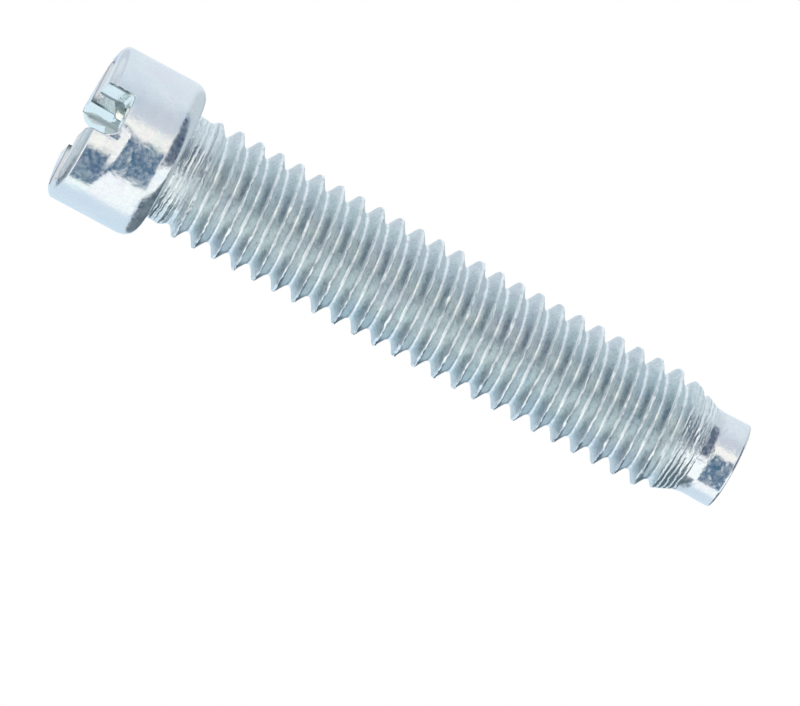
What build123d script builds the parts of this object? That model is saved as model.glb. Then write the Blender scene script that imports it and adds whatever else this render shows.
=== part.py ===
"""A zinc-plated adjusting screw: slot and cross drive, rolled M4 thread and a plain dog point.

The screw stands on its head. The origin is the centre of the head's end face, +Z runs
along the axis to the point, and the straight slot runs along Y. Sizes are in millimetres.
"""

from build123d import *
from math import ceil, radians, sqrt, tan
import os

os.makedirs("parts", exist_ok=True)

# Head
head_diameter = 5.2
head_height = 3.0
face_edge_width = 0.5
face_edge_height = 0.27
under_edge_radius = 0.4

# Drive: a straight slot right across the head, and a cross recess that starts with it
slot_width = 1.5
slot_depth = 0.9
slot_corner_radius = 0.12
recess_span = 4.4
recess_bottom_span = 2.3
recess_flare = 26.5
recess_bottom_slope = 28.0
wing_width = 1.46
wing_draft = 5.0

# Shank and thread
length_under_head = 19.6
neck_diameter = 3.5
neck_length = 0.3
neck_flare = 0.2
thread_diameter = 3.86
thread_pitch = 0.7
thread_start_angle = 240.0
thread_start_gap = 0.194
run_in_length = 0.8

# Dog point
point_diameter = 2.82
point_length = 1.2
point_fillet = 0.18
point_chamfer = 0.05
taper_length = 1.3

# Worked out from the sizes above
overall_length = head_height + length_under_head
head_radius = head_diameter / 2
neck_radius = neck_diameter / 2
neck_end = head_height + neck_length
bearing_width = head_radius - neck_radius - neck_flare
under_edge = min(under_edge_radius, bearing_width * 0.8)
thread_radius = thread_diameter / 2
point_radius = point_diameter / 2
point_start = overall_length - point_length
taper_start = point_start - taper_length
recess_wall_depth = (recess_span - recess_bottom_span) / 2 / tan(radians(recess_flare))
recess_depth = recess_wall_depth + recess_bottom_span / 2 * tan(radians(recess_bottom_slope))

# Basic profile of a metric thread: 60 degree flanks, 5/8 of the sharp triangle's height,
# a root flat of a quarter pitch and a crest flat of an eighth
flank_angle = 30
thread_depth = thread_pitch * sqrt(3) / 2 * 5 / 8
root_radius = thread_radius - thread_depth
groove_start = neck_end + thread_start_gap
groove_turns = ceil((point_start - groove_start) / thread_pitch)
groove_depth = thread_depth + thread_pitch / 16
half_root = thread_pitch / 8
half_mouth = half_root + groove_depth * tan(radians(flank_angle))

# Angle at which the groove's root comes out through the taper
taper_slope = taper_length / (thread_radius - point_radius)
thread_end = taper_start + thread_depth * taper_slope
thread_end_angle = thread_start_angle + (thread_end - groove_start) / thread_pitch * 360

# Angle at which the run-in reaches full diameter half way between two turns of the groove
run_in_turns = (run_in_length - thread_start_gap) / thread_pitch
land_angle = thread_start_angle + (run_in_turns - 0.5) * 360

# Blank, as headed and turned before its thread is rolled
with BuildPart() as blank:
    with BuildSketch(Plane.XZ) as profile:
        with BuildLine():
            Line((0, 0), (head_radius - face_edge_width, 0))
            EllipticalCenterArc(
                (head_radius - face_edge_width, face_edge_height),
                face_edge_width,
                face_edge_height,
                start_angle=-90,
                arc_size=90,
            )
            Polyline(
                (head_radius, face_edge_height),
                (head_radius, head_height),
                (neck_radius + neck_flare, head_height),
                (neck_radius, head_height + neck_flare),
                (neck_radius, neck_end),
                (thread_radius, neck_end + run_in_length),
                (thread_radius, overall_length),
                (0, overall_length),
                (0, 0),
            )
        make_face()
        fillet(profile.vertices().sort_by_distance((head_radius, head_height))[0], under_edge)
    revolve(axis=Axis.Z)

# Cross recess: a drafted cross inside the cone that its wing ends follow
with BuildPart() as recess:
    with BuildSketch():
        Rectangle(recess_span, wing_width)
        Rectangle(wing_width, recess_span)
    extrude(amount=recess_depth, taper=wing_draft)
    with BuildSketch(Plane.XZ):
        with BuildLine():
            Polyline(
                (0, 0),
                (recess_span / 2, 0),
                (recess_bottom_span / 2, recess_wall_depth),
                (0, recess_depth),
                close=True,
            )
        make_face()
    revolve(axis=Axis.Z, mode=Mode.INTERSECT)

# Groove of the right-hand thread, one helix a turn. It runs in along its own tangent near the
# head, and fades out where the taper goes below its root
with BuildPart() as groove:
    with BuildLine() as helix:
        for turn in range(groove_turns):
            Helix(
                pitch=thread_pitch,
                height=thread_pitch,
                radius=root_radius,
                center=(0, 0, groove_start + turn * thread_pitch),
            )
    with BuildSketch(Plane(helix.line @ 0, x_dir=(1, 0, 0), z_dir=helix.line % 0)) as vee:
        with BuildLine():
            Polyline(
                (0, -half_root),
                (groove_depth, -half_mouth),
                (groove_depth, half_mouth),
                (0, half_root),
                close=True,
            )
        make_face()
    sweep(path=helix.line, is_frenet=True)
    extrude(vee.sketch, amount=-thread_radius)

# What is turned away round the taper and the dog point
with BuildPart() as turning:
    with BuildSketch(Plane.XZ) as waste:
        with BuildLine():
            Polyline(
                (thread_radius + thread_depth, taper_start - thread_depth * taper_slope),
                (point_radius, point_start),
                (point_radius, overall_length - point_chamfer),
                (point_radius - point_chamfer, overall_length),
                (point_radius - point_chamfer, overall_length + point_length),
                (thread_radius + thread_depth, overall_length + point_length),
                close=True,
            )
        make_face()
        fillet(waste.vertices().sort_by_distance((point_radius, point_start))[0], point_fillet)
    revolve(axis=Axis.Z)

with BuildPart() as screw:
    # The blank's surfaces close on the land between two turns of the groove
    add(blank.part, rotation=(0, 0, land_angle))

    # Drive: the cross recess first, then the straight slot across the whole head
    add(recess.part, mode=Mode.SUBTRACT)
    with BuildSketch(Plane.XZ) as slot:
        Rectangle(slot_width, 2 * slot_depth)
        fillet(slot.vertices(), slot_corner_radius)
    extrude(amount=head_diameter, both=True, mode=Mode.SUBTRACT)

    # Thread, then the point, whose surfaces close on the side away from the end of the thread
    add(groove.part, rotation=(0, 0, thread_start_angle), mode=Mode.SUBTRACT)
    add(turning.part, rotation=(0, 0, thread_end_angle + 180), mode=Mode.SUBTRACT)

screw.part.label = "screw"
export_step(screw.part, "parts/screw.step")
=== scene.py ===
import bpy
import bmesh
import math
from mathutils import Matrix, Vector, noise
from types import SimpleNamespace


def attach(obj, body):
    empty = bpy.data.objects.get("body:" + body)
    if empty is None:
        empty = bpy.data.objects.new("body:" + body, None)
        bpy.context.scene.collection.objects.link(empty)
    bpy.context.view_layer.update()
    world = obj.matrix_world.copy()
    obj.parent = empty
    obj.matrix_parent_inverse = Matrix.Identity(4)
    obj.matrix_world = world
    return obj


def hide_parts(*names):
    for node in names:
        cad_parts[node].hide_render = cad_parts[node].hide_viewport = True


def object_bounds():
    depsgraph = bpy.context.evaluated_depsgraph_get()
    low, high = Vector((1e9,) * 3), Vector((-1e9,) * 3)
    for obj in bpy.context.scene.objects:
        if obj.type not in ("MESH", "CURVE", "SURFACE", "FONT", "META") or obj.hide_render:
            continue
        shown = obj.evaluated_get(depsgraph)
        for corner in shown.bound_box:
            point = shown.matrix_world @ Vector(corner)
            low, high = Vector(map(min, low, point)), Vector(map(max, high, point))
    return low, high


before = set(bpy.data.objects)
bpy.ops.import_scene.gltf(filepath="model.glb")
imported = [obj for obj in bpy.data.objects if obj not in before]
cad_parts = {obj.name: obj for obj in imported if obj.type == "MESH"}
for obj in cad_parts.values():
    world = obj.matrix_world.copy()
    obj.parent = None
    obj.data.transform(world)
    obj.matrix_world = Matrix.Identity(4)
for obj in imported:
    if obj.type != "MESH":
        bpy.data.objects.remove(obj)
cadLow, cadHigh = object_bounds()
mm = 0.001
print("frame loaded, size in mm:", [round(v / mm, 2) for v in cadHigh - cadLow])


# Camera: the screw's axis runs down to the right, seen a little from its head end

cameraView = {
    "azimuth": 14.0,  # degrees round the screw; 0 looks along +Y
    "elevation": -6.5,
    "roll": 118.32,
    "lens": 480.0,
    "sensor": 36.0,
    "distance": 327 * mm,
    "aimRight": -0.24 * mm,  # where the lens points, from the screw's middle
    "aimDown": 1.843 * mm,
    "clipStart": 10 * mm,
    "clipEnd": 5.0,
}


def makeCamera(view):
    turn = math.radians(view["azimuth"])
    rise = math.radians(view["elevation"])
    back = Vector((math.sin(turn) * math.cos(rise), -math.cos(turn) * math.cos(rise), math.sin(rise)))
    facing = (-back).to_track_quat("-Z", "Y").to_matrix().to_4x4()
    facing = facing @ Matrix.Rotation(math.radians(view["roll"]), 4, "Z")
    right = facing.col[0].to_3d()
    down = -facing.col[1].to_3d()
    middle = Vector((0, 0, (cadLow.z + cadHigh.z) / 2))
    aim = middle + right * view["aimRight"] + down * view["aimDown"]

    data = bpy.data.cameras.new("camera")
    data.lens = view["lens"]
    data.sensor_width = view["sensor"]
    data.clip_start = view["clipStart"]
    data.clip_end = view["clipEnd"]
    camera = bpy.data.objects.new("camera", data)
    camera.matrix_world = Matrix.Translation(aim + back * view["distance"]) @ facing
    bpy.context.scene.collection.objects.link(camera)
    bpy.context.scene.camera = camera


makeCamera(cameraView)
print("camera placed")


# The screw's shapes are in millimetres until its mesh is scaled at the end.
# Each of its faces belongs to one of four surfaces
surfaces = {"head": 0, "drive": 1, "thread": 2, "point": 3}

# How close points are that count as one, or as lying on a level
nearness = {"thread": 0.001, "cut": 0.004, "level": 0.005, "seam": 0.01}


# Thread: a helical strip, one pitch high, spun round the axis and cut flat at both ends

thread = {
    "segments": 120,  # round the axis
    "pitch": 0.7,
    "crestRadius": 1.93,
    "rootRadius": 1.551,
    "crestAtZero": -0.123,  # height of a crest at angle 0, apart from whole pitches
    "neckRadius": 1.75,
    "low": 3.28,
    "high": 21.42,
    "runInLow": 3.25,
    "runInHigh": 4.15,
    "taperLow": 20.05,
    "taperHigh": 21.4,
    "taperBulge": 1.3,
    "endRadius": 1.432,
    "crestStarts": 0.34,  # out from the root
    "crestFull": 0.37,
    "crestWave": 0.022,
    "crestDrift": 0.034,
    "crestWorn": 0.25,
    "waveScale": 2.1,
    "fineScale": 4.3,
    "fineShift": (7, 3, 1),
    "driftFine": 1.1,
    "waveCoarse": 0.5,
    "waveFine": 0.9,
}

# Half a pitch from the root's middle to the crest's middle, as (along, out)
halfThread = [
    (0.0, 0.0),
    (0.032, 0.004),
    (0.062, 0.016),
    (0.09, 0.038),
    (0.118, 0.074),
    (0.15, 0.12),
    (0.2, 0.197),
    (0.27, 0.316),
    (0.302, 0.366),
    (0.324, 0.38),
    (0.35, 0.37),
]


def smoothStep(low, high, value):
    share = min(max((value - low) / (high - low), 0.0), 1.0)
    return share * share * (3 - 2 * share)


def shankRadius(radius, height):
    risen = smoothStep(thread["runInLow"], thread["runInHigh"], height)
    radius = thread["neckRadius"] + (radius - thread["neckRadius"]) * risen
    along = (height - thread["taperLow"]) / (thread["taperHigh"] - thread["taperLow"])
    if along <= 0:
        return radius
    fall = (thread["crestRadius"] - thread["endRadius"]) * min(along, 1.0) ** thread["taperBulge"]
    return min(radius, thread["crestRadius"] - fall)


def spinThread(mesh):
    pitch, segments = thread["pitch"], thread["segments"]
    outline = [(along - pitch / 2, out) for along, out in halfThread]
    outline += [(pitch / 2 - along, out) for along, out in halfThread[-2::-1]]
    whole = math.floor((thread["low"] - pitch / 2 - thread["crestAtZero"]) / pitch)
    start = thread["crestAtZero"] + whole * pitch
    turns = math.ceil((thread["high"] - pitch / 2 - start) / pitch) + 1
    verts = [mesh.verts.new((thread["rootRadius"] + out, 0, start + along)) for along, out in outline]
    edges = [mesh.edges.new(pair) for pair in zip(verts, verts[1:])]
    bmesh.ops.spin(
        mesh,
        geom=verts + edges,
        cent=(0, 0, 0),
        axis=(0, 0, 1),
        dvec=(0, 0, pitch / segments),
        angle=math.radians(360),
        steps=segments,
        use_merge=False,
    )
    oneTurn = list(mesh.verts) + list(mesh.edges) + list(mesh.faces)
    for turn in range(1, turns):
        made = bmesh.ops.duplicate(mesh, geom=oneTurn)["geom"]
        copied = [part for part in made if isinstance(part, bmesh.types.BMVert)]
        bmesh.ops.translate(mesh, verts=copied, vec=(0, 0, pitch * turn))
    bmesh.ops.remove_doubles(mesh, verts=mesh.verts, dist=nearness["thread"])


def rollThread(mesh):
    low, high = thread["low"], thread["high"]
    for vert in mesh.verts:
        spot = vert.co.copy()
        radius = math.hypot(spot.x, spot.y)
        onCrest = smoothStep(thread["crestStarts"], thread["crestFull"], radius - thread["rootRadius"])
        coarse = noise.noise(spot * thread["waveScale"])
        fine = noise.noise(spot * thread["waveScale"] * thread["fineScale"] + Vector(thread["fineShift"]))
        height = spot.z + onCrest * thread["crestDrift"] * (coarse + thread["driftFine"] * fine)
        wave = thread["waveCoarse"] * coarse + thread["waveFine"] * fine - thread["crestWorn"]
        radius = shankRadius(radius + onCrest * thread["crestWave"] * wave, height)
        height = min(max(height, low), high)
        if height == low:
            radius = thread["neckRadius"]
        if height == high:
            radius = thread["endRadius"]
        flat = Vector((spot.x, spot.y, 0)).normalized() * radius
        vert.co = (flat.x, flat.y, height)
    bmesh.ops.remove_doubles(mesh, verts=mesh.verts, dist=nearness["thread"])


# Head and point: rings that carry the strip's two open ends on, as (radius, height)

head = {
    "radius": 2.6,
    "height": 3.0,
    "underEdge": 0.4,
    "underEdgeHeight": 0.52,
    "faceEdgeWidth": 0.5,
    "faceEdgeHeight": 0.27,
    "arcSteps": 8,
    "sideSteps": 4,
    "sideHold": 0.04,  # a ring this close to the rounding keeps the side flat
}
neckRings = [
    (1.75, 3.2),
    (1.762, 3.12),
    (1.81, 3.045),
    (1.88, 3.01),
    (1.95, 3.0),
    (2.19, 3.0),
]
pointRings = [
    (1.424, 21.48),
    (1.413, 21.56),
    (1.404, 21.64),
    (1.398, 21.7),
    (1.395, 21.78),
    (1.396, 21.86),
    (1.4, 22.05),
    (1.404, 22.25),
    (1.409, 22.49),
    (1.41, 22.53),
    (1.409, 22.545),
    (1.405, 22.57),
    (1.39, 22.59),
    (1.365, 22.6),
    (1.33, 22.6),
]


def headRings():
    rings = list(neckRings)
    steps = head["arcSteps"]
    for step in range(steps + 1):  # rounding under the head
        turn = math.pi / 2 * step / steps
        across = head["radius"] - head["underEdge"] * (1 - math.sin(turn))
        rings.append((across, head["height"] - head["underEdgeHeight"] * (1 - math.cos(turn))))
    sideTop, sideLow = head["height"] - head["underEdgeHeight"], head["faceEdgeHeight"]
    rings.append((head["radius"], sideTop - head["sideHold"]))
    for step in range(1, head["sideSteps"]):
        rings.append((head["radius"], sideTop + (sideLow - sideTop) * step / head["sideSteps"]))
    for step in range(steps + 1):  # flatter rounding at the face
        turn = math.pi / 2 * step / steps
        across = head["radius"] - head["faceEdgeWidth"] * (1 - math.cos(turn))
        rings.append((across, head["faceEdgeHeight"] * (1 - math.sin(turn))))
    return rings


def extrudeLoop(mesh, loop):
    made = bmesh.ops.extrude_edge_only(mesh, edges=loop)["geom"]
    loop = [part for part in made if isinstance(part, bmesh.types.BMEdge) and part.is_boundary]
    return loop, {vert for edge in loop for vert in edge.verts}


def carryOn(mesh, loop, rings):
    for radius, level in rings:
        loop, verts = extrudeLoop(mesh, loop)
        for vert in verts:
            flat = Vector((vert.co.x, vert.co.y, 0)).normalized() * radius
            vert.co = (flat.x, flat.y, level)
    bmesh.ops.edgeloop_fill(mesh, edges=loop)


def makeHead():
    mesh = bmesh.new()
    bmesh.ops.create_circle(mesh, cap_ends=True, segments=thread["segments"], radius=thread["neckRadius"])
    bmesh.ops.translate(mesh, verts=mesh.verts, vec=(0, 0, thread["low"]))
    carryOn(mesh, list(mesh.edges), headRings())
    return objectFrom(mesh, "headBlank")


# Drive: cutters for the straight slot and the two wings of the cross

drive = {
    "slotWidth": 1.5,
    "slotDepth": 0.9,
    "slotCorner": 0.12,
    "slotCornerSteps": 4,
    "slotLength": 6.4,
    "slotCuts": 24,
    "slotLevels": (0.0, 0.15, 0.3, 0.45, 0.6),
    "wingWidth": 1.46,
    "wingDraft": 5.0,
    "wingSpan": 4.4,
    "wallDepth": 2.106,
    "bottomSpan": 2.3,
    "tipSpan": 0.2,
    "depth": 2.7,
    "aboveMouth": 0.2,
    "overMouth": 0.1,
    "mouthRound": 0.045,
    "mouthSteps": 3,
    "innerRound": 0.03,
    "innerSteps": 2,
    "innerAngle": 35.0,
    "innerSlack": 0.01,
    "innerInside": 0.1,
}

# Wear of the slot: its lip leans in at the far left end, and a corner of its floor at the near right
wear = {
    "uneven": 0.025,
    "unevenScale": 1.7,
    "lipPush": 0.28,
    "lipAlong": (0.9, 2.2),
    "lipDepth": (0.0, 0.45),
    "cornerPush": 0.16,
    "cornerAlong": (-1.0, -2.4),
    "cornerDepth": (0.5, 0.9),
}


def wornSlot(spot):
    uneven = wear["uneven"] * noise.noise(spot * wear["unevenScale"])
    if spot.x < 0:
        lip = smoothStep(*wear["lipAlong"], spot.y) * smoothStep(*wear["lipDepth"], spot.z)
        return spot + Vector((lip * wear["lipPush"] + uneven, 0, uneven))
    corner = smoothStep(*wear["cornerAlong"], spot.y) * smoothStep(*wear["cornerDepth"], spot.z)
    return spot - Vector((corner * wear["cornerPush"] + uneven, 0, uneven))


def slotCutter():
    mesh = bmesh.new()
    bmesh.ops.create_cube(mesh, size=1)
    size = (drive["slotWidth"], drive["slotLength"], 2 * drive["slotDepth"])
    bmesh.ops.scale(mesh, vec=size, verts=mesh.verts)
    floor = [e for e in mesh.edges if min(v.co.z for v in e.verts) > 0 and e.verts[0].co.x == e.verts[1].co.x]
    bevelEdges(mesh, floor, drive["slotCorner"], drive["slotCornerSteps"])
    for cut in range(1, drive["slotCuts"]):
        along = drive["slotLength"] * (cut / drive["slotCuts"] - 0.5)
        sliceAt(mesh, (0, along, 0), (0, 1, 0))
    for depth in drive["slotLevels"]:
        sliceAt(mesh, (0, 0, depth), (0, 0, 1))
    for vert in mesh.verts:
        vert.co = wornSlot(vert.co.copy())
    return mesh


def sliceAt(mesh, point, facing):
    geom = list(mesh.verts) + list(mesh.edges) + list(mesh.faces)
    bmesh.ops.bisect_plane(mesh, geom=geom, plane_co=point, plane_no=facing)


def wingCutter(turn):
    mesh = bmesh.new()
    half = drive["wingWidth"] / 2
    draft = math.tan(math.radians(drive["wingDraft"]))
    levels = [
        (drive["wingSpan"] / 2 + drive["overMouth"], -drive["aboveMouth"]),
        (drive["wingSpan"] / 2, 0.0),
        (drive["bottomSpan"] / 2, drive["wallDepth"]),
        (drive["tipSpan"] / 2, drive["depth"]),
    ]
    loop = []
    for reach, level in levels:
        thick = half - draft * level
        if not loop:
            corners = [(-reach, -thick), (reach, -thick), (reach, thick), (-reach, thick)]
            verts = [mesh.verts.new((x, y, level)) for x, y in corners]
            loop = [mesh.edges.new(pair) for pair in zip(verts, verts[1:] + verts[:1])]
            mesh.faces.new(verts)
            continue
        loop, verts = extrudeLoop(mesh, loop)
        for vert in verts:
            vert.co = (math.copysign(reach, vert.co.x), math.copysign(thick, vert.co.y), level)
    bmesh.ops.edgeloop_fill(mesh, edges=loop)
    bmesh.ops.rotate(mesh, cent=(0, 0, 0), matrix=Matrix.Rotation(turn, 3, "Z"), verts=mesh.verts)
    return mesh


def bevelEdges(mesh, edges, width, segments):
    bmesh.ops.bevel(
        mesh,
        geom=edges,
        affect="EDGES",
        offset=width,
        offset_type="OFFSET",
        segments=segments,
        profile=0.5,
        material=-1,
        clamp_overlap=False,
    )


def objectFrom(mesh, name):
    bmesh.ops.recalc_face_normals(mesh, faces=mesh.faces)
    data = bpy.data.meshes.new(name)
    mesh.to_mesh(data)
    mesh.free()
    made = bpy.data.objects.new(name, data)
    bpy.context.scene.collection.objects.link(made)
    return made


def addEmptySlots(data):
    for surface in ("head", "drive"):
        data.materials.append(None)


def cutDrive(blank):
    for cutter in (slotCutter(), wingCutter(0.0), wingCutter(math.pi / 2)):
        for face in cutter.faces:
            face.material_index = surfaces["drive"]
        tool = objectFrom(cutter, "cutter")
        addEmptySlots(tool.data)
        cut = blank.modifiers.new("drive", "BOOLEAN")
        cut.operation = "DIFFERENCE"
        cut.solver = "EXACT"
        cut.object = tool
        baked = bpy.data.meshes.new_from_object(blank.evaluated_get(bpy.context.evaluated_depsgraph_get()))
        blank.modifiers.clear()
        blank.data = baked
        bpy.data.objects.remove(tool)


def openEdges(mesh):
    return sum(1 for edge in mesh.edges if not edge.is_manifold)


def openLoop(mesh, height):
    near = nearness["level"]
    return [e for e in mesh.edges if e.is_boundary and abs(e.verts[0].co.z - height) < near]


def isInnerCorner(edge):
    faces = edge.link_faces
    if len(faces) != 2 or min(f.material_index for f in faces) == surfaces["head"]:
        return False
    deep = min(v.co.z for v in edge.verts) > drive["slotDepth"] - drive["innerSlack"]
    inside = max(math.hypot(v.co.x, v.co.y) for v in edge.verts) < head["radius"] - drive["innerInside"]
    return deep and inside and edge.is_convex and edge.calc_face_angle() > math.radians(drive["innerAngle"])


def finishHead(blank):
    mesh = bmesh.new()
    mesh.from_mesh(blank.data)
    bmesh.ops.remove_doubles(mesh, verts=mesh.verts, dist=nearness["cut"])
    mouth = [e for e in mesh.edges if len({f.material_index for f in e.link_faces}) == 2]
    print("mouth edges", len(mouth), "open edges", openEdges(mesh))
    bevelEdges(mesh, mouth, drive["mouthRound"], drive["mouthSteps"])
    inner = [e for e in mesh.edges if isInnerCorner(e)]
    print("inner corners", len(inner))
    bevelEdges(mesh, inner, drive["innerRound"], drive["innerSteps"])
    cap = [f for f in mesh.faces if f.calc_center_median().z > thread["low"] - nearness["thread"]]
    bmesh.ops.delete(mesh, geom=cap, context="FACES_ONLY")
    for face in mesh.faces:
        if face.calc_center_median().z > head["height"] + nearness["seam"]:
            face.material_index = surfaces["thread"]
    mesh.to_mesh(blank.data)
    mesh.free()


def makeScrew():
    blank = makeHead()
    addEmptySlots(blank.data)
    cutDrive(blank)
    finishHead(blank)
    print("head cut")

    mesh = bmesh.new()
    spinThread(mesh)
    rollThread(mesh)
    carryOn(mesh, openLoop(mesh, thread["high"]), pointRings)
    for face in mesh.faces:
        onPoint = face.calc_center_median().z > thread["high"] + nearness["seam"]
        face.material_index = surfaces["point" if onPoint else "thread"]
    mesh.from_mesh(blank.data)
    bpy.data.objects.remove(blank)
    seam = {v for e in openLoop(mesh, thread["low"]) for v in e.verts}
    bmesh.ops.remove_doubles(mesh, verts=list(seam), dist=nearness["seam"])
    print("open edges left", openEdges(mesh))
    bmesh.ops.scale(mesh, vec=(mm, mm, mm), verts=mesh.verts)
    return objectFrom(mesh, "plated_screw")


sharpAngle = math.radians(42)

screw = makeScrew()
screw.data.set_sharp_from_angle(angle=sharpAngle)
print("screw has", len(screw.data.polygons), "faces")


# Materials: bright zinc plating, smooth on the head and point, duller on the rolled thread

def addNode(tree, kind, inputs=None, **settings):
    node = tree.nodes.new("ShaderNode" + kind)
    for name, value in settings.items():
        setattr(node, name, value)
    for socket, value in (inputs or {}).items():
        if isinstance(value, bpy.types.NodeSocket):
            tree.links.new(value, node.inputs[socket])
        else:
            node.inputs[socket].default_value = value
    return node


def compute(tree, operation, *values):
    return addNode(tree, "Math", dict(enumerate(values)), operation=operation).outputs[0]


def fade(tree, value, start, end, low=0.0, high=1.0, curve="SMOOTHSTEP"):
    inputs = {"Value": value, "From Min": start, "From Max": end, "To Min": low, "To Max": high}
    return addNode(tree, "MapRange", inputs, interpolation_type=curve).outputs[0]


def mixColours(tree, share, first, second, blend="MIX"):
    inputs = {0: share, 6: first, 7: second}
    return addNode(tree, "Mix", inputs, data_type="RGBA", blend_type=blend).outputs[2]


def addRamp(tree, value, stops, interpolation="EASE"):
    node = addNode(tree, "ValToRGB", {0: value})
    ramp = node.color_ramp
    ramp.interpolation = interpolation
    ramp.elements.remove(ramp.elements[1])
    ramp.elements[0].position = stops[0][0]
    ramp.elements[0].color = (*stops[0][1], 1)
    for place, colour in stops[1:]:
        ramp.elements.new(place).color = (*colour, 1)
    return node.outputs["Color"]


def newGroup(name, inputs, outputs):
    group = bpy.data.node_groups.new(name, "ShaderNodeTree")
    for label, kind, value in inputs:
        socket = group.interface.new_socket(label, in_out="INPUT", socket_type=kind)
        if value is not None:
            socket.default_value = value
    for label, kind in outputs:
        group.interface.new_socket(label, in_out="OUTPUT", socket_type=kind)
    return group, group.nodes.new("NodeGroupInput").outputs, group.nodes.new("NodeGroupOutput").inputs


platingTints = [
    (0.28, (0.76, 0.83, 0.89)),  # bluish
    (0.42, (0.83, 0.86, 0.88)),
    (0.52, (0.86, 0.88, 0.89)),
    (0.60, (0.85, 0.85, 0.89)),  # lavender
    (0.72, (0.80, 0.88, 0.87)),  # greenish
]
platingNoise = {  # detail and distortion
    "patches": (3.0, 0.6),
    "lumps": (2.0, 0.3),
    "grain": (2.0, 0.0),
    "lumpsInCloud": 0.5,
}


def makePlatingGroup():
    group, given, result = newGroup(
        "zincPlating",
        [
            ("Vector", "NodeSocketVector", None),
            ("Patch Size", "NodeSocketFloat", 0.001),
            ("Lump Size", "NodeSocketFloat", 0.0003),
            ("Grain Size", "NodeSocketFloat", 0.00006),
            ("Grain Share", "NodeSocketFloat", 0.3),
        ],
        [
            ("Tint", "NodeSocketColor"),
            ("Cloud", "NodeSocketFloat"),
            ("Height", "NodeSocketFloat"),
        ],
    )

    def noiseOf(size, kind):
        detail, distortion = platingNoise[kind]
        scale = compute(group, "DIVIDE", 1.0, size)
        inputs = {"Vector": given["Vector"], "Scale": scale, "Detail": detail, "Distortion": distortion}
        return addNode(group, "TexNoise", inputs).outputs["Fac"]

    patches = noiseOf(given["Patch Size"], "patches")
    lumps = noiseOf(given["Lump Size"], "lumps")
    grain = noiseOf(given["Grain Size"], "grain")
    cloud = compute(group, "MULTIPLY_ADD", lumps, platingNoise["lumpsInCloud"], grain)
    height = compute(group, "MULTIPLY_ADD", grain, given["Grain Share"], lumps)
    group.links.new(addRamp(group, patches, platingTints), result["Tint"])
    group.links.new(cloud, result["Cloud"])
    group.links.new(height, result["Height"])
    return group


radiusNoise = {"Scale": 4000.0, "Detail": 3.0}


def makeRadiusGroup():
    group, given, result = newGroup(
        "radiusMask",
        [
            ("Vector", "NodeSocketVector", None),
            ("From", "NodeSocketFloat", 0.0),
            ("To", "NodeSocketFloat", 1.0),
            ("Breakup", "NodeSocketFloat", 0.0),
        ],
        [("Mask", "NodeSocketFloat")],
    )
    axes = addNode(group, "SeparateXYZ", {0: given["Vector"]}).outputs
    across = addNode(group, "CombineXYZ", {"X": axes["X"], "Y": axes["Y"]}).outputs[0]
    radius = addNode(group, "VectorMath", {0: across}, operation="LENGTH").outputs["Value"]
    rough = addNode(group, "TexNoise", {"Vector": given["Vector"], **radiusNoise}).outputs["Fac"]
    offset = compute(group, "SUBTRACT", rough, 0.5)
    radius = compute(group, "MULTIPLY_ADD", offset, given["Breakup"], radius)
    group.links.new(fade(group, radius, given["From"], given["To"]), result["Mask"])
    return group


platingGroup = makePlatingGroup()
radiusGroup = makeRadiusGroup()

# Pairs are the values where the plating is clear and where it is clouded
finishes = {
    # the drive's plating is painted lighter than the head's, painted light that lifts the recess's shade
    "drivePlatingAndPaintedShading": {
        "patchSize": 0.8 * mm,
        "lumpSize": 0.3 * mm,
        "grainSize": 0.1 * mm,
        "grainShare": 0.3,
        "roughness": (0.1, 0.2),
        "bump": 0.012 * mm,
        "shade": (1.07, 1.1, 1.04, 1),
        "mottle": (0.98, 1.08),
        "metallic": (1.0, 1.0),
    },
    "headPlating": {
        "patchSize": 1.4 * mm,
        "lumpSize": 0.42 * mm,
        "grainSize": 0.13 * mm,
        "grainShare": 0.14,
        "roughness": (0.1, 0.26),
        "bump": 0.014 * mm,
        "shade": (1.0, 1.0, 1.0, 1),
        "mottle": (0.94, 1.04),
        "metallic": (1.0, 0.76),
    },
    "pointPlating": {
        "patchSize": 0.9 * mm,
        "lumpSize": 0.45 * mm,
        "grainSize": 0.12 * mm,
        "grainShare": 0.08,
        "roughness": (0.09, 0.22),
        "bump": 0.022 * mm,
        "shade": (1.0, 1.0, 1.0, 1),
        "mottle": (0.94, 1.04),
        "metallic": (1.0, 0.76),
    },
    "threadPlatingAndPaintedHighlights": {
        "patchSize": 2.2 * mm,
        "lumpSize": 0.2 * mm,
        "grainSize": 0.07 * mm,
        "grainShare": 0.5,
        "roughness": (0.26, 0.4),
        "bump": 0.014 * mm,
        "shade": (0.87, 0.925, 0.92, 1),
        "mottle": (0.78, 1.2),
        "metallic": (1.0, 1.0),
    },
}
cloudRange = (0.45, 1.05)
frostRange = (0.6, 0.95)


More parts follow.
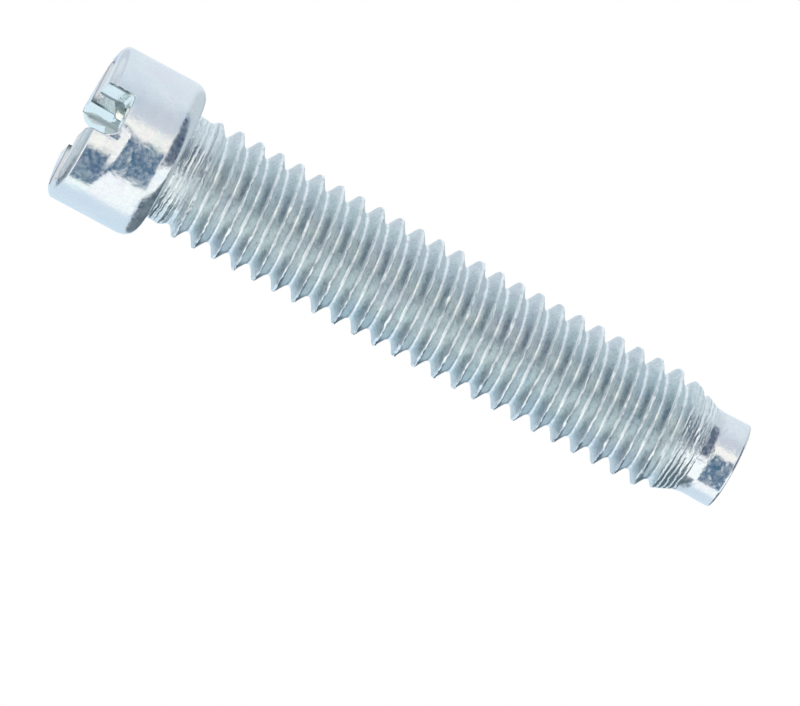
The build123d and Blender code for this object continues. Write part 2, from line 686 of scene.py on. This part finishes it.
def startMaterial(name):
    values = finishes[name]
    material = bpy.data.materials.new(name)
    material.use_nodes = True
    tree = material.node_tree
    where = addNode(tree, "TexCoord").outputs["Object"]
    inputs = {
        "Vector": where,
        "Patch Size": values["patchSize"],
        "Lump Size": values["lumpSize"],
        "Grain Size": values["grainSize"],
        "Grain Share": values["grainShare"],
    }
    plating = addNode(tree, "Group", inputs, node_tree=platingGroup).outputs
    shaded = mixColours(tree, 1.0, plating["Tint"], values["shade"], "MULTIPLY")
    tone = fade(tree, plating["Cloud"], *cloudRange, *values["mottle"], curve="LINEAR")
    toned = addNode(tree, "VectorMath", {0: shaded, "Scale": tone}, operation="SCALE").outputs[0]
    roughness = fade(tree, plating["Cloud"], *cloudRange, *values["roughness"], curve="LINEAR")
    metallic = fade(tree, plating["Cloud"], *frostRange, *values["metallic"], curve="LINEAR")
    bump = addNode(tree, "Bump", {"Height": plating["Height"], "Distance": values["bump"]}).outputs[0]
    surface = tree.nodes["Principled BSDF"].inputs
    tree.links.new(toned, surface["Base Color"])
    tree.links.new(roughness, surface["Roughness"])
    tree.links.new(metallic, surface["Metallic"])
    tree.links.new(bump, surface["Normal"])
    axes = addNode(tree, "SeparateXYZ", {0: where}).outputs
    return SimpleNamespace(
        material=material,
        tree=tree,
        surface=surface,
        where=where,
        axes=axes,
        colour=toned,
        normal=bump,
    )


# How far the head's side sinks next to the slot, as shares of the drop across the head's width
slotLips = {
    "halfWidth": 2.6 * mm,
    "profile": [(0.646, 1.0), (0.719, 0.79), (0.787, 0.58), (0.847, 0.372), (0.894, 0.186), (0.933, 0.0)],
    "drop": 0.58 * mm,
    "front": 0.5 * mm,
    "step": 0.075 * mm,
    "stepFrom": 0.1 * mm,
    "stepTo": 0.7 * mm,
    "fullTo": 0.92 * mm,
    "noneFrom": 1.42 * mm,
    "wander": 0.5 * mm,
    "wanderScale": 700.0,
}

# How the point's front right is flattened, in the same way
pointFlat = {
    "halfWidth": 1.41 * mm,
    "profile": [
        (0.621, 1.0),
        (0.703, 0.947),
        (0.779, 0.788),
        (0.847, 0.506),
        (0.894, 0.215),
        (0.933, 0.043),
        (0.963, 0.0),
    ],
    "drop": 0.162 * mm,
    "front": 0.3 * mm,
}


def profileAcross(plated, values):
    across = fade(plated.tree, plated.axes["X"], -values["halfWidth"], values["halfWidth"], curve="LINEAR")
    stops = [(place, (share, share, share)) for place, share in values["profile"]]
    return addRamp(plated.tree, across, stops, "LINEAR")


def frontOnly(plated, values):
    front = compute(plated.tree, "MULTIPLY", plated.axes["Y"], -1.0)
    return fade(plated.tree, front, 0.0, values["front"])


def sinkBy(tree, depth, distance, normal):
    inputs = {"Height": depth, "Distance": distance, "Normal": normal}
    return addNode(tree, "Bump", inputs, invert=True).outputs[0]


def mixNormals(tree, share, first, second):
    mixed = addNode(tree, "Mix", {0: share, 4: first, 5: second}, data_type="VECTOR").outputs[1]
    return addNode(tree, "VectorMath", {0: mixed}, operation="NORMALIZE").outputs[0]


def makePointMaterial():
    plated = startMaterial("pointPlating")
    tree = plated.tree
    sunk = sinkBy(tree, profileAcross(plated, pointFlat), pointFlat["drop"], plated.normal)
    facing = mixNormals(tree, frontOnly(plated, pointFlat), plated.normal, sunk)
    tree.links.new(facing, plated.surface["Normal"])
    return plated.material


def makeHeadMaterial():
    plated = startMaterial("headPlating")
    tree = plated.tree
    inputs = {"Vector": plated.where, "Scale": slotLips["wanderScale"], "Detail": 1.0}
    wave = compute(tree, "SUBTRACT", addNode(tree, "TexNoise", inputs).outputs["Fac"], 0.5)
    height = compute(tree, "MULTIPLY_ADD", wave, slotLips["wander"], plated.axes["Z"])
    along = fade(tree, height, slotLips["noneFrom"], slotLips["fullTo"], curve="SMOOTHERSTEP")
    along = compute(tree, "MULTIPLY", along, frontOnly(plated, slotLips))
    depth = profileAcross(plated, slotLips)
    sunk = sinkBy(tree, depth, slotLips["drop"], plated.normal)
    facing = mixNormals(tree, along, plated.normal, sunk)
    beside = fade(tree, plated.axes["X"], slotLips["stepFrom"], slotLips["stepTo"])
    lip = compute(tree, "MULTIPLY", compute(tree, "MULTIPLY", depth, along), beside)
    tree.links.new(sinkBy(tree, lip, slotLips["step"], facing), plated.surface["Normal"])
    return plated.material


# Painted shade inside the drive: dark lines at the cross wings' corners in the slot's walls, and at the
# slot's mouth.
# The wings' openings in the head's face get a painted shade too, darkest next to the slot
drivePaintedShade = {
    "corner": 0.73 * mm,
    "cornerFrom": 0.085 * mm,
    "cornerTo": 0.03 * mm,
    "cornerWeights": (0.24, 1.35),  # the near corners' lines are wide, the far ones' narrow
    "cornerMiddle": 0.2 * mm,
    "wallFrom": 0.825 * mm,
    "wallTo": 0.785 * mm,
    "mouthFrom": 2.12 * mm,
    "mouthTo": 2.3 * mm,
    "mouthBottom": 0.78 * mm,
    "mouthSide": 0.6 * mm,
    "faceFrom": 0.3 * mm,
    "faceTo": 0.1 * mm,
    "wingFrom": 0.76 * mm,
    "wingTo": 0.8 * mm,
    "wingShadeFrom": 0.76 * mm,
    "wingShadeTo": 1.05 * mm,
    # colour of the painted shade
    "colour": (0.10, 0.14, 0.15, 1),
    # the lighter end of the wings' painted shade
    "wingShade": (0.60, 0.63, 0.69, 1),
}


def makeDriveMaterial():
    plated = startMaterial("drivePlatingAndPaintedShading")
    tree, axes = plated.tree, plated.axes

    def fadeOf(value, start, end):
        return fade(tree, value, drivePaintedShade[start], drivePaintedShade[end])

    across = compute(tree, "ABSOLUTE", axes["X"])
    along = compute(tree, "ABSOLUTE", axes["Y"])
    # painted shade along the wings' corners in the slot's walls
    off = compute(tree, "ABSOLUTE", compute(tree, "SUBTRACT", along, drivePaintedShade["corner"]))
    middle = drivePaintedShade["cornerMiddle"]
    weight = fade(tree, axes["Y"], -middle, middle, *drivePaintedShade["cornerWeights"], curve="LINEAR")
    off = compute(tree, "MULTIPLY", off, weight)
    corner = fadeOf(off, "cornerFrom", "cornerTo")
    corner = compute(tree, "MULTIPLY", corner, fadeOf(across, "wallFrom", "wallTo"))
    # painted shade at the slot's near mouth
    mouth = fadeOf(compute(tree, "MULTIPLY", axes["Y"], -1.0), "mouthFrom", "mouthTo")
    mouth = compute(tree, "MULTIPLY", mouth, fadeOf(axes["Z"], "mouthBottom", "mouthSide"))
    dark = compute(tree, "MAXIMUM", corner, mouth)
    # painted shade in the wings' openings, darkest next to the slot
    opening = fadeOf(axes["Z"], "faceFrom", "faceTo")
    opening = compute(tree, "MULTIPLY", opening, fadeOf(across, "wingFrom", "wingTo"))
    reach = fadeOf(across, "wingShadeFrom", "wingShadeTo")
    wingShade = mixColours(tree, reach, drivePaintedShade["colour"], drivePaintedShade["wingShade"])
    colour = mixColours(tree, opening, plated.colour, wingShade)
    colour = mixColours(tree, dark, colour, drivePaintedShade["colour"])
    tree.links.new(colour, plated.surface["Base Color"])
    return plated.material


# Fine folds that rolling leaves on the first and last turns. The folds' ridges and those turns also get a
# painted sheen
laps = {
    "ends": [(4.6 * mm, 3.7 * mm), (20.0 * mm, 20.9 * mm)],
    "scale": 0.314 / (0.16 * mm),  # about pi / 10 over the folds' spacing
    "wander": 3.0,
    "detail": 2.0,
    "wanderScale": 1.5,
    "height": 0.024 * mm,
    "shine": 0.5,
    "glow": 0.3,
}

# Bright lines on crests and roots: the crests' are rubbed plating and painted highlight together, the roots'
# are painted highlight. Radii from and to
wornAndPaintedHighlights = {
    "radii": [(1.893 * mm, 1.926 * mm), (1.566 * mm, 1.551 * mm)],
    "breakup": 0.06 * mm,
    "colour": (0.97, 1.0, 1.0, 1),
}


def brightLineMask(plated, start, end):
    inputs = {"Vector": plated.where, "From": start, "To": end, "Breakup": wornAndPaintedHighlights["breakup"]}
    return addNode(plated.tree, "Group", inputs, node_tree=radiusGroup).outputs["Mask"]


def makeThreadMaterial():
    plated = startMaterial("threadPlatingAndPaintedHighlights")
    tree = plated.tree
    near = compute(tree, "MAXIMUM", *[fade(tree, plated.axes["Z"], *end) for end in laps["ends"]])
    inputs = {
        "Vector": plated.where,
        "Scale": laps["scale"],
        "Distortion": laps["wander"],
        "Detail": laps["detail"],
        "Detail Scale": laps["wanderScale"],
    }
    lines = addNode(tree, "TexWave", inputs, bands_direction="Z").outputs["Fac"]
    raised = compute(tree, "MULTIPLY", lines, near)
    rolled = addNode(tree, "Bump", {"Height": raised, "Distance": laps["height"], "Normal": plated.normal})
    tree.links.new(rolled.outputs[0], plated.surface["Normal"])
    # painted highlight lines on crests and roots, the crests' partly rubbed plating
    bright = compute(tree, "MAXIMUM", *[brightLineMask(plated, *radii) for radii in wornAndPaintedHighlights["radii"]])
    # painted sheen on the folds' ridges and the end turns
    glow = compute(tree, "MULTIPLY", near, laps["glow"])
    shine = compute(tree, "MULTIPLY_ADD", raised, laps["shine"], glow)
    bright = compute(tree, "MAXIMUM", bright, shine)
    tree.links.new(mixColours(tree, bright, plated.colour, wornAndPaintedHighlights["colour"]), plated.surface["Base Color"])
    return plated.material


indices = [polygon.material_index for polygon in screw.data.polygons]
screw.data.materials.clear()
for makeMaterial in (makeHeadMaterial, makeDriveMaterial, makeThreadMaterial, makePointMaterial):
    screw.data.materials.append(makeMaterial())
for polygon, index in zip(screw.data.polygons, indices):
    polygon.use_smooth = True
    polygon.material_index = index
print("materials made")

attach(screw, "root")
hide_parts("screw")


# Studio: white ground, and a light tent that the plating mirrors

panels = {
    "greyBlue": (0.66, 0.72, 0.80),
    "lightBlue": (0.82, 0.90, 0.96),
    "creamWhite": (1.12, 1.10, 1.03),
    "darkBlue": (0.08, 0.17, 0.28),
    "cyanWhite": (1.12, 1.16, 1.16),
    "paleBlue": (0.72, 0.86, 0.97),
    "deepBlue": (0.07, 0.11, 0.18),
    "lavender": (0.62, 0.65, 0.73),
    "brightSlate": (0.64, 0.72, 0.76),
    "slate": (0.38, 0.46, 0.50),
    "darkSlate": (0.11, 0.16, 0.20),
}

# The tent's panels by azimuth in degrees from the camera's side, at the level and in bands above
# and below it. A band begins between two sines of elevation
tent = {
    "level": [
        (-180, "lightBlue"),
        (-85, "lightBlue"),
        (-58, "greyBlue"),
        (-34, "greyBlue"),
        (-28, "creamWhite"),
        (-12, "creamWhite"),
        (-6, "darkBlue"),
        (44, "darkBlue"),
        (50, "cyanWhite"),
        (92, "cyanWhite"),
        (105, "paleBlue"),
        (170, "paleBlue"),
    ],
    "bands": {
        (0.155, 0.195): [
            (-180, "lightBlue"),
            (-50, "greyBlue"),
            (-40, "creamWhite"),
            (60, "cyanWhite"),
            (75, "paleBlue"),
        ],
        (0.23, 0.30): [
            (-180, "slate"),
            (-152, "brightSlate"),
            (-84, "brightSlate"),
            (-68, "deepBlue"),
            (2, "deepBlue"),
            (12, "cyanWhite"),
            (56, "cyanWhite"),
            (64, "darkSlate"),
            (172, "darkSlate"),
            (180, "slate"),
        ],
        (-0.16, -0.22): [
            (-180, "greyBlue"),
            (-60, "greyBlue"),
            (-45, "creamWhite"),
            (70, "cyanWhite"),
            (85, "paleBlue"),
        ],
        (-0.44, -0.52): [
            (-180, "slate"),
            (-160, "lightBlue"),
            (0, "lavender"),
            (172, "darkSlate"),
            (180, "slate"),
        ],
        (-0.7, -0.82): [
            (-180, "slate"),
            (-152, "brightSlate"),
            (0, "slate"),
            (172, "darkSlate"),
            (180, "slate"),
        ],
    },
}


def makeWorld():
    world = bpy.data.worlds.new("tent")
    bpy.context.scene.world = world
    world.use_nodes = True
    tree = world.node_tree
    tree.nodes.clear()
    where = addNode(tree, "TexCoord").outputs["Generated"]
    axes = addNode(tree, "SeparateXYZ", {0: where}).outputs
    azimuth = compute(tree, "ARCTAN2", axes["X"], compute(tree, "MULTIPLY", axes["Y"], -1.0))
    turned = compute(tree, "SUBTRACT", azimuth, math.radians(cameraView["azimuth"]) - math.pi)
    share = compute(tree, "FRACT", compute(tree, "DIVIDE", turned, 2 * math.pi))

    def aroundTent(stops):
        return addRamp(tree, share, [((angle + 180) / 360, panels[name]) for angle, name in stops], "LINEAR")

    colour = aroundTent(tent["level"])
    for edge, stops in tent["bands"].items():
        colour = mixColours(tree, fade(tree, axes["Z"], *edge), colour, aroundTent(stops))
    mirrored = addNode(tree, "Background", {"Color": colour})
    ground = addNode(tree, "Background", {"Color": (1, 1, 1, 1)})
    seen = addNode(tree, "LightPath").outputs["Is Camera Ray"]
    pick = addNode(tree, "MixShader", {0: seen, 1: mirrored.outputs[0], 2: ground.outputs[0]})
    addNode(tree, "OutputWorld", {"Surface": pick.outputs[0]})


floorPaper = {
    "radius": 1.2,
    "segments": 64,
    "below": 0.02 * mm,
    "colour": (0.88, 0.87, 0.86, 1),
    "roughness": 0.9,
    "lift": 0.38,
}


def makeFloor():
    mesh = bmesh.new()
    segments, radius = floorPaper["segments"], floorPaper["radius"]
    bmesh.ops.create_circle(mesh, cap_ends=True, segments=segments, radius=radius)
    floor = objectFrom(mesh, "floor")
    floor.location.z = -floorPaper["below"]
    paper = bpy.data.materials.new("floorPaper")
    paper.use_nodes = True
    tree = paper.node_tree
    body = tree.nodes["Principled BSDF"]
    body.inputs["Base Color"].default_value = floorPaper["colour"]
    body.inputs["Roughness"].default_value = floorPaper["roughness"]
    body.inputs["Emission Color"].default_value = (1, 1, 1, 1)
    seen = addNode(tree, "LightPath").outputs["Is Camera Ray"]
    lift = compute(tree, "MULTIPLY", seen, floorPaper["lift"])
    tree.links.new(lift, body.inputs["Emission Strength"])
    under = addNode(tree, "NewGeometry").outputs["Backfacing"]
    clear = addNode(tree, "BsdfTransparent").outputs[0]
    pick = addNode(tree, "MixShader", {0: under, 1: body.outputs[0], 2: clear})
    tree.links.new(pick.outputs[0], tree.nodes["Material Output"].inputs["Surface"])
    floor.data.materials.append(paper)
    floor.visible_glossy = False
    floor.visible_diffuse = False
    floor.visible_shadow = False


makeWorld()
makeFloor()
bpy.context.scene.view_settings.view_transform = "Standard"
print("studio ready")
